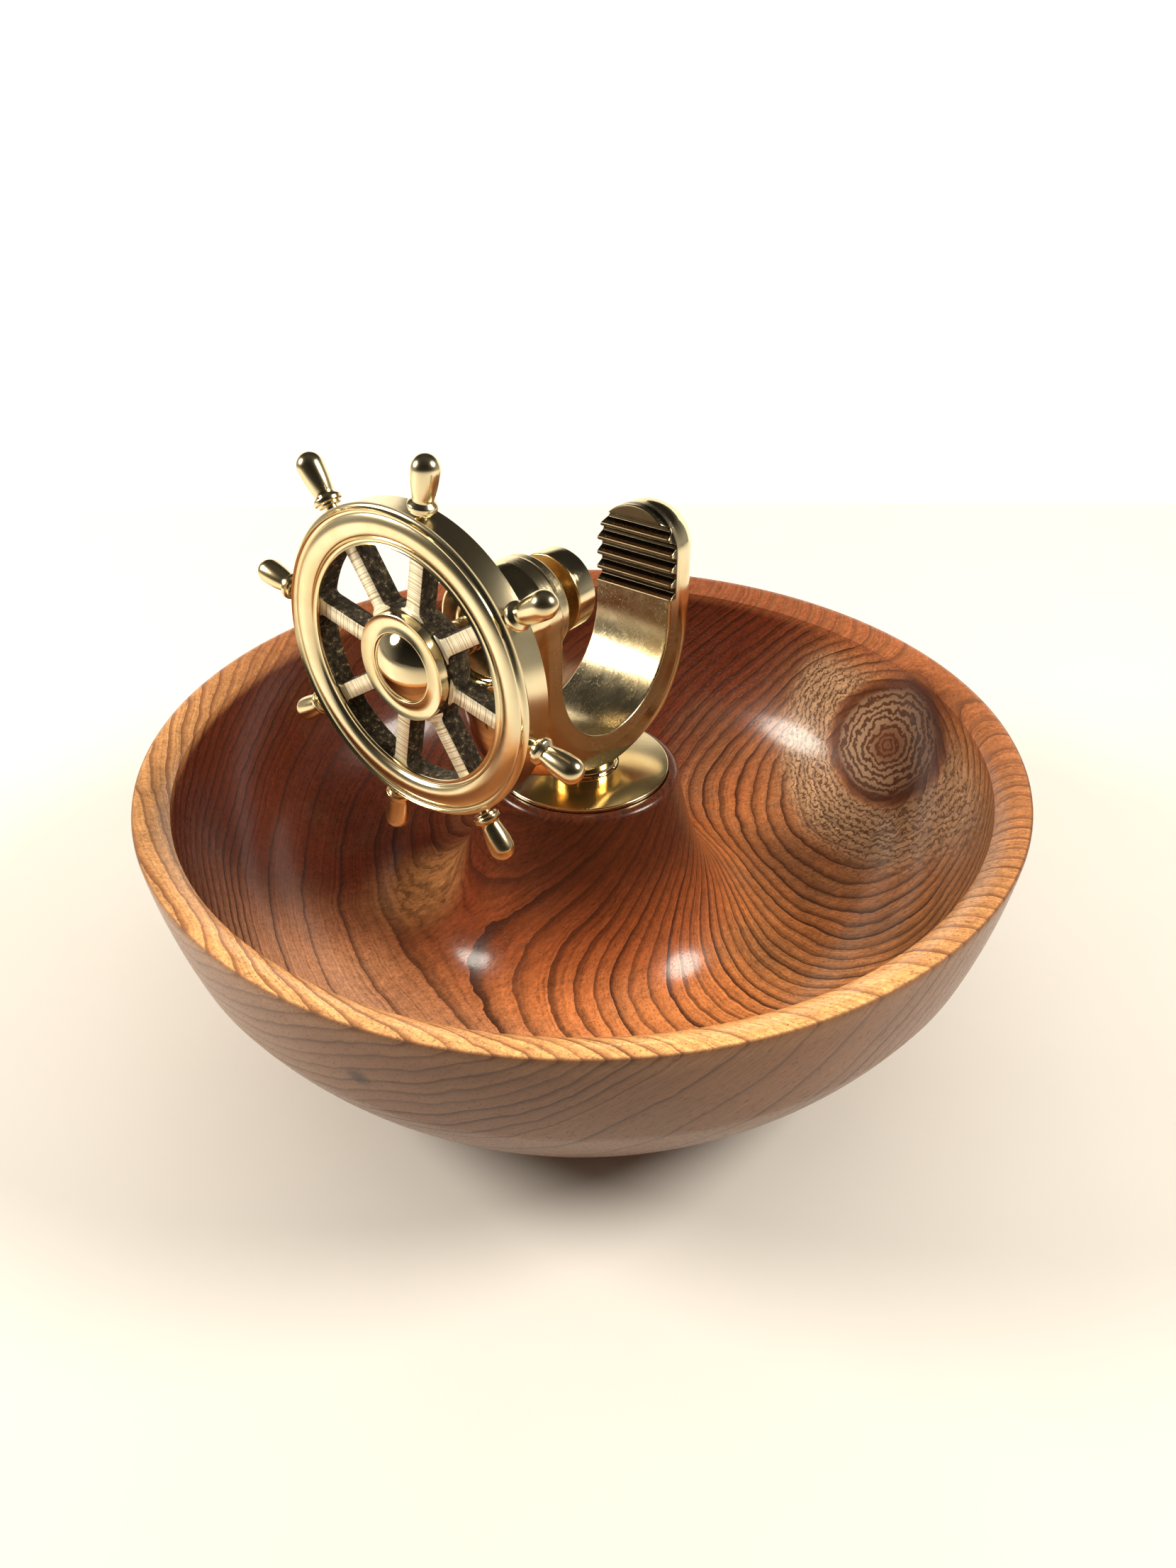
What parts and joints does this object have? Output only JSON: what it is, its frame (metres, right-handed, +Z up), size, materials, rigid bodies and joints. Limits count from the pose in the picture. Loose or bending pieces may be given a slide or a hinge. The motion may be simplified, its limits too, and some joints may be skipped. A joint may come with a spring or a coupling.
{
  "type": "screw nutcracker press",
  "caption": "Turned wooden bowl whose central pedestal carries a brass loop press, closed by a threaded spindle with a ship's wheel handwheel.",
  "frame": {"origin": "centre of the bowl's foot ring, on the table", "axes": "+Z up; +X along the screw, from the wheel to the toothed anvil; +Y completes the right-handed frame"},
  "size_m": [0.28, 0.28, 0.2032],
  "materials": {
    "turned_wood": "oiled to a gloss",
    "polished_brass": "mirror polished",
    "cast_brass": "cast, with polished faces",
    "threaded_brass": "machined",
    "plain_steel": "plain"
  },
  "bodies": {
    "base": {"bowl": "turned_wood", "base_plate": "polished_brass", "frame": "cast_brass", "base_stud": "plain_steel", "base_washer": "plain_steel", "base_nut": "plain_steel"},
    "ram": {"ram_head": "polished_brass", "ram_pin": "plain_steel"},
    "wheel_screw": {"wheel": "cast_brass", "spindle": "threaded_brass", "dome_nut": "polished_brass", "wheel_grub_screw": "plain_steel", "handle_1": "polished_brass", "handle_2": "polished_brass", "handle_3": "polished_brass", "handle_4": "polished_brass", "handle_5": "polished_brass", "handle_6": "polished_brass", "handle_7": "polished_brass", "handle_8": "polished_brass"}
  },
  "joints": [
    {"name": "ram_slide", "type": "slide", "parent": "base", "child": "ram", "axis": [1, 0, 0], "range_m": [-0.0065, 0.016]},
    {"name": "wheel_turn", "type": "hinge", "parent": "ram", "child": "wheel_screw", "pos_m": [0, 0, 0.1471], "axis": [1, 0, 0], "range_deg": [-780, 1920]}
  ],
  "couplings": [
    {"joint": "ram_slide", "follows": "wheel_turn", "m_per_rad": 0.00047746}
  ]
}
